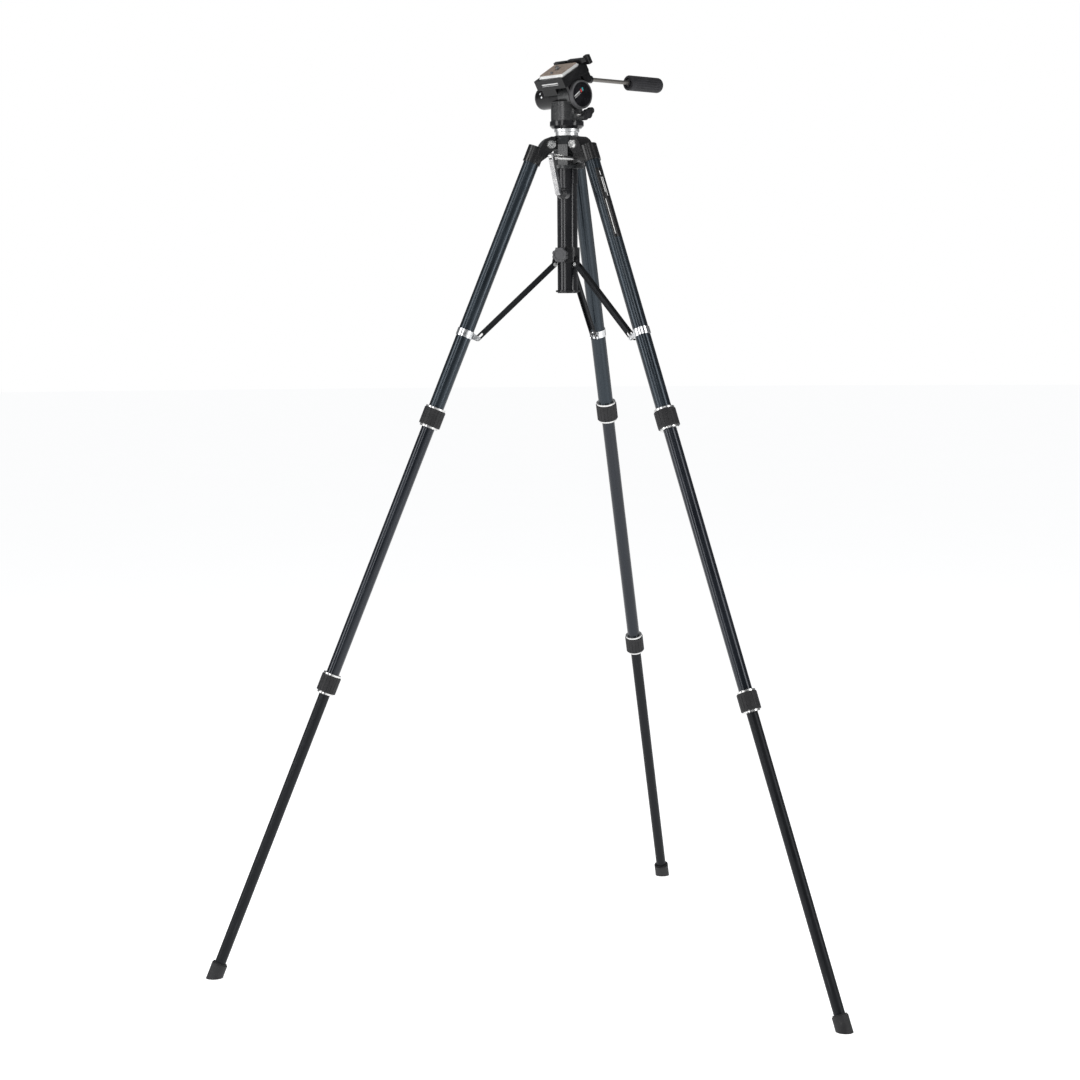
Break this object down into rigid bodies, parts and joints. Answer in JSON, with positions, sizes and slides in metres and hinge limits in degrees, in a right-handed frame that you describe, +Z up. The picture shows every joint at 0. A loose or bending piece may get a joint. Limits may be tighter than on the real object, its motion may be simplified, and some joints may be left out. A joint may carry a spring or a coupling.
{
  "type": "tripod with fluid head",
  "caption": "Three-section camera tripod with twist locks, geared centre column, brace struts and a two-way fluid head with quick-release plate and pan handle.",
  "frame": {"origin": "ground point on the centre column axis, legs fully spread", "axes": "+Z up the centre column; lens looks along -Y; leg b points along +X; the tilt axle runs along X"},
  "size_m": [0.9541, 1.0976, 1.5402],
  "materials": {
    "head_black": "textured",
    "slate_tube": "satin anodised",
    "black_tube": "gloss anodised",
    "chrome": "polished",
    "silver": "machined",
    "rubber": "matt",
    "black_plastic": "satin",
    "cork": "cork-rubber mix",
    "steel": "grey"
  },
  "bodies": {
    "chassis": {"spider": "head_black", "leg_hinge_bolts": "chrome", "guide_tube": "black_tube", "guide_tube_ring": "black_plastic"},
    "column": {"column_tube": "silver", "column_flange": "silver", "pan_base": "head_black"},
    "pan": {"pan_body": "head_black"},
    "pan_knob": {"pan_lock_screw": "chrome", "pan_lock_knob": "black_plastic"},
    "platform": {"tilt_platform": "head_black", "tilt_axle": "steel", "drag_cap": "black_plastic", "barrel_end_cap": "black_plastic"},
    "lever": {"qr_lever": "head_black"},
    "plate": {"qr_plate": "silver", "qr_pad": "cork"},
    "screw": {"camera_screw": "chrome"},
    "pin": {"index_pin": "chrome"},
    "handle": {"handle_rod": "steel", "handle_grip": "rubber"},
    "crank": {"crank_shaft": "chrome"},
    "crank_arm": {"crank_arm": "silver"},
    "crank_knob": {"crank_knob": "black_plastic"},
    "collar": {"brace_collar": "black_plastic", "brace_pins": "chrome"},
    "collar_knob": {"collar_knob": "black_plastic"},
    "leg_a": {"leg_a_shoulder": "head_black", "leg_a_upper_tube": "slate_tube", "leg_a_brace_clip": "chrome", "leg_a_upper_lock_core": "silver"},
    "leg_a_upper_grip": {"leg_a_upper_lock_grip": "rubber"},
    "leg_a_middle": {"leg_a_middle_tube": "black_tube", "leg_a_lower_lock_core": "silver"},
    "leg_a_lower_grip": {"leg_a_lower_lock_grip": "rubber"},
    "leg_a_lower": {"leg_a_lower_tube": "black_tube", "leg_a_foot": "rubber"},
    "leg_a_brace": {"leg_a_brace": "head_black"},
    "leg_b": {"leg_b_shoulder": "head_black", "leg_b_upper_tube": "slate_tube", "leg_b_brace_clip": "chrome", "leg_b_upper_lock_core": "silver"},
    "leg_b_upper_grip": {"leg_b_upper_lock_grip": "rubber"},
    "leg_b_middle": {"leg_b_middle_tube": "black_tube", "leg_b_lower_lock_core": "silver"},
    "leg_b_lower_grip": {"leg_b_lower_lock_grip": "rubber"},
    "leg_b_lower": {"leg_b_lower_tube": "black_tube", "leg_b_foot": "rubber"},
    "leg_b_brace": {"leg_b_brace": "head_black"},
    "leg_c": {"leg_c_shoulder": "head_black", "leg_c_upper_tube": "slate_tube", "leg_c_brace_clip": "chrome", "leg_c_upper_lock_core": "silver"},
    "leg_c_upper_grip": {"leg_c_upper_lock_grip": "rubber"},
    "leg_c_middle": {"leg_c_middle_tube": "black_tube", "leg_c_lower_lock_core": "silver"},
    "leg_c_lower_grip": {"leg_c_lower_lock_grip": "rubber"},
    "leg_c_lower": {"leg_c_lower_tube": "black_tube", "leg_c_foot": "rubber"},
    "leg_c_brace": {"leg_c_brace": "head_black"}
  },
  "joints": [
    {"name": "column_lift", "type": "slide", "parent": "chassis", "child": "column", "axis": [0, 0, 1], "range_m": [0, 0.2]},
    {"name": "crank_turn", "type": "hinge", "parent": "chassis", "child": "crank", "pos_m": [0.01597, 0.00581, 1.3675], "axis": [-0.342, 0.9397, 0], "range_deg": [0, 2295]},
    {"name": "crank_fold", "type": "hinge", "parent": "crank", "child": "crank_arm", "pos_m": [0.04676, -0.07876, 1.3675], "axis": [-0.9192, -0.3345, -0.2079], "range_deg": [0, 180]},
    {"name": "crank_knob_spin", "type": "hinge", "parent": "crank_arm", "child": "crank_knob", "pos_m": [0.05887, -0.07435, 1.30686], "axis": [-0.342, 0.9397, 0], "continuous": true},
    {"name": "pan_turn", "type": "hinge", "parent": "column", "child": "pan", "pos_m": [0, 0, 1.431], "axis": [0, 0, 1], "continuous": true},
    {"name": "pan_lock_turn", "type": "hinge", "parent": "pan", "child": "pan_knob", "pos_m": [0.048, 0, 1.4405], "axis": [1, 0, 0], "range_deg": [0, 270]},
    {"name": "head_tilt", "type": "hinge", "parent": "pan", "child": "platform", "pos_m": [0, 0, 1.4735], "axis": [1, 0, 0], "range_deg": [-61, 34]},
    {"name": "quick_release_lever", "type": "hinge", "parent": "platform", "child": "lever", "pos_m": [0.002, 0.00691, 1.52898], "axis": [0, -0.515, 0.8572], "range_deg": [0, 38], "stiffness_Nm_per_rad": 0.05},
    {"name": "plate_lift_off", "type": "slide", "parent": "platform", "child": "plate", "axis": [0, -0.515, 0.8572], "range_m": [0, 0.03]},
    {"name": "camera_screw_turn", "type": "hinge", "parent": "plate", "child": "screw", "pos_m": [0, -0.01803, 1.514], "axis": [0, -0.515, 0.8572], "continuous": true},
    {"name": "index_pin_press", "type": "slide", "parent": "plate", "child": "pin", "axis": [0, 0.515, -0.8572], "range_m": [0, 0.0025], "stiffness_N_per_m": 400},
    {"name": "handle_twist", "type": "hinge", "parent": "platform", "child": "handle", "pos_m": [0.026, 0.03, 1.501], "axis": [0, 1, 0], "range_deg": [-90, 270]},
    {"name": "leg_a_spread", "type": "hinge", "parent": "chassis", "child": "leg_a", "pos_m": [-0.015, -0.02598, 1.3915], "axis": [0.866, -0.5, 0], "range_deg": [0, 19.5]},
    {"name": "leg_b_spread", "type": "hinge", "parent": "chassis", "child": "leg_b", "pos_m": [0.03, 0, 1.3915], "axis": [0, 1, 0], "range_deg": [0, 19.5]},
    {"name": "leg_c_spread", "type": "hinge", "parent": "chassis", "child": "leg_c", "pos_m": [-0.015, 0.02598, 1.3915], "axis": [-0.866, -0.5, 0], "range_deg": [0, 19.5]},
    {"name": "collar_slide", "type": "slide", "parent": "chassis", "child": "collar", "axis": [0, 0, 1], "range_m": [0, 0.0285]},
    {"name": "leg_a_brace_pivot", "type": "hinge", "parent": "collar", "child": "leg_a_brace", "pos_m": [-0.0115, -0.01992, 1.192], "axis": [0.866, -0.5, 0], "range_deg": [0, 42]},
    {"name": "leg_b_brace_pivot", "type": "hinge", "parent": "collar", "child": "leg_b_brace", "pos_m": [0.023, 0, 1.192], "axis": [0, 1, 0], "range_deg": [0, 42]},
    {"name": "leg_c_brace_pivot", "type": "hinge", "parent": "collar", "child": "leg_c_brace", "pos_m": [-0.0115, 0.01992, 1.192], "axis": [-0.866, -0.5, 0], "range_deg": [0, 42]},
    {"name": "collar_knob_turn", "type": "hinge", "parent": "collar", "child": "collar_knob", "pos_m": [0.018, -0.03118, 1.207], "axis": [0.5, -0.866, 0], "range_deg": [0, 270]},
    {"name": "leg_a_upper_lock_twist", "type": "hinge", "parent": "leg_a", "child": "leg_a_upper_grip", "pos_m": [-0.1176, -0.2037, 0.93629], "axis": [-0.1889, -0.3272, -0.9259], "range_deg": [0, 90]},
    {"name": "leg_a_middle_slide", "type": "slide", "parent": "leg_a", "child": "leg_a_middle", "axis": [0.1889, 0.3272, 0.9259], "range_m": [0, 0.42]},
    {"name": "leg_a_lower_lock_twist", "type": "hinge", "parent": "leg_a_middle", "child": "leg_a_lower_grip", "pos_m": [-0.20829, -0.36076, 0.49187], "axis": [-0.1889, -0.3272, -0.9259], "range_deg": [0, 90]},
    {"name": "leg_a_lower_slide", "type": "slide", "parent": "leg_a_middle", "child": "leg_a_lower", "axis": [0.1889, 0.3272, 0.9259], "range_m": [0, 0.45]},
    {"name": "leg_b_upper_lock_twist", "type": "hinge", "parent": "leg_b", "child": "leg_b_upper_grip", "pos_m": [0.23521, 0, 0.93629], "axis": [0.3778, 0, -0.9259], "range_deg": [0, 90]},
    {"name": "leg_b_middle_slide", "type": "slide", "parent": "leg_b", "child": "leg_b_middle", "axis": [-0.3778, 0, 0.9259], "range_m": [0, 0.42]},
    {"name": "leg_b_lower_lock_twist", "type": "hinge", "parent": "leg_b_middle", "child": "leg_b_lower_grip", "pos_m": [0.41657, 0, 0.49187], "axis": [0.3778, 0, -0.9259], "range_deg": [0, 90]},
    {"name": "leg_b_lower_slide", "type": "slide", "parent": "leg_b_middle", "child": "leg_b_lower", "axis": [-0.3778, 0, 0.9259], "range_m": [0, 0.45]},
    {"name": "leg_c_upper_lock_twist", "type": "hinge", "parent": "leg_c", "child": "leg_c_upper_grip", "pos_m": [-0.1176, 0.2037, 0.93629], "axis": [-0.1889, 0.3272, -0.9259], "range_deg": [0, 90]},
    {"name": "leg_c_middle_slide", "type": "slide", "parent": "leg_c", "child": "leg_c_middle", "axis": [0.1889, -0.3272, 0.9259], "range_m": [0, 0.42]},
    {"name": "leg_c_lower_lock_twist", "type": "hinge", "parent": "leg_c_middle", "child": "leg_c_lower_grip", "pos_m": [-0.20829, 0.36076, 0.49187], "axis": [-0.1889, 0.3272, -0.9259], "range_deg": [0, 90]},
    {"name": "leg_c_lower_slide", "type": "slide", "parent": "leg_c_middle", "child": "leg_c_lower", "axis": [0.1889, -0.3272, 0.9259], "range_m": [0, 0.45]}
  ],
  "couplings": [
    {"joint": "leg_b_spread", "follows": "leg_a_spread", "ratio": 1},
    {"joint": "leg_c_spread", "follows": "leg_a_spread", "ratio": 1},
    {"joint": "collar_slide", "follows": "leg_a_spread", "m_per_rad": 0.082},
    {"joint": "leg_a_brace_pivot", "follows": "leg_a_spread", "ratio": 2.12},
    {"joint": "leg_b_brace_pivot", "follows": "leg_a_spread", "ratio": 2.12},
    {"joint": "leg_c_brace_pivot", "follows": "leg_a_spread", "ratio": 2.12},
    {"joint": "crank_turn", "follows": "column_lift", "rad_per_m": 200}
  ]
}
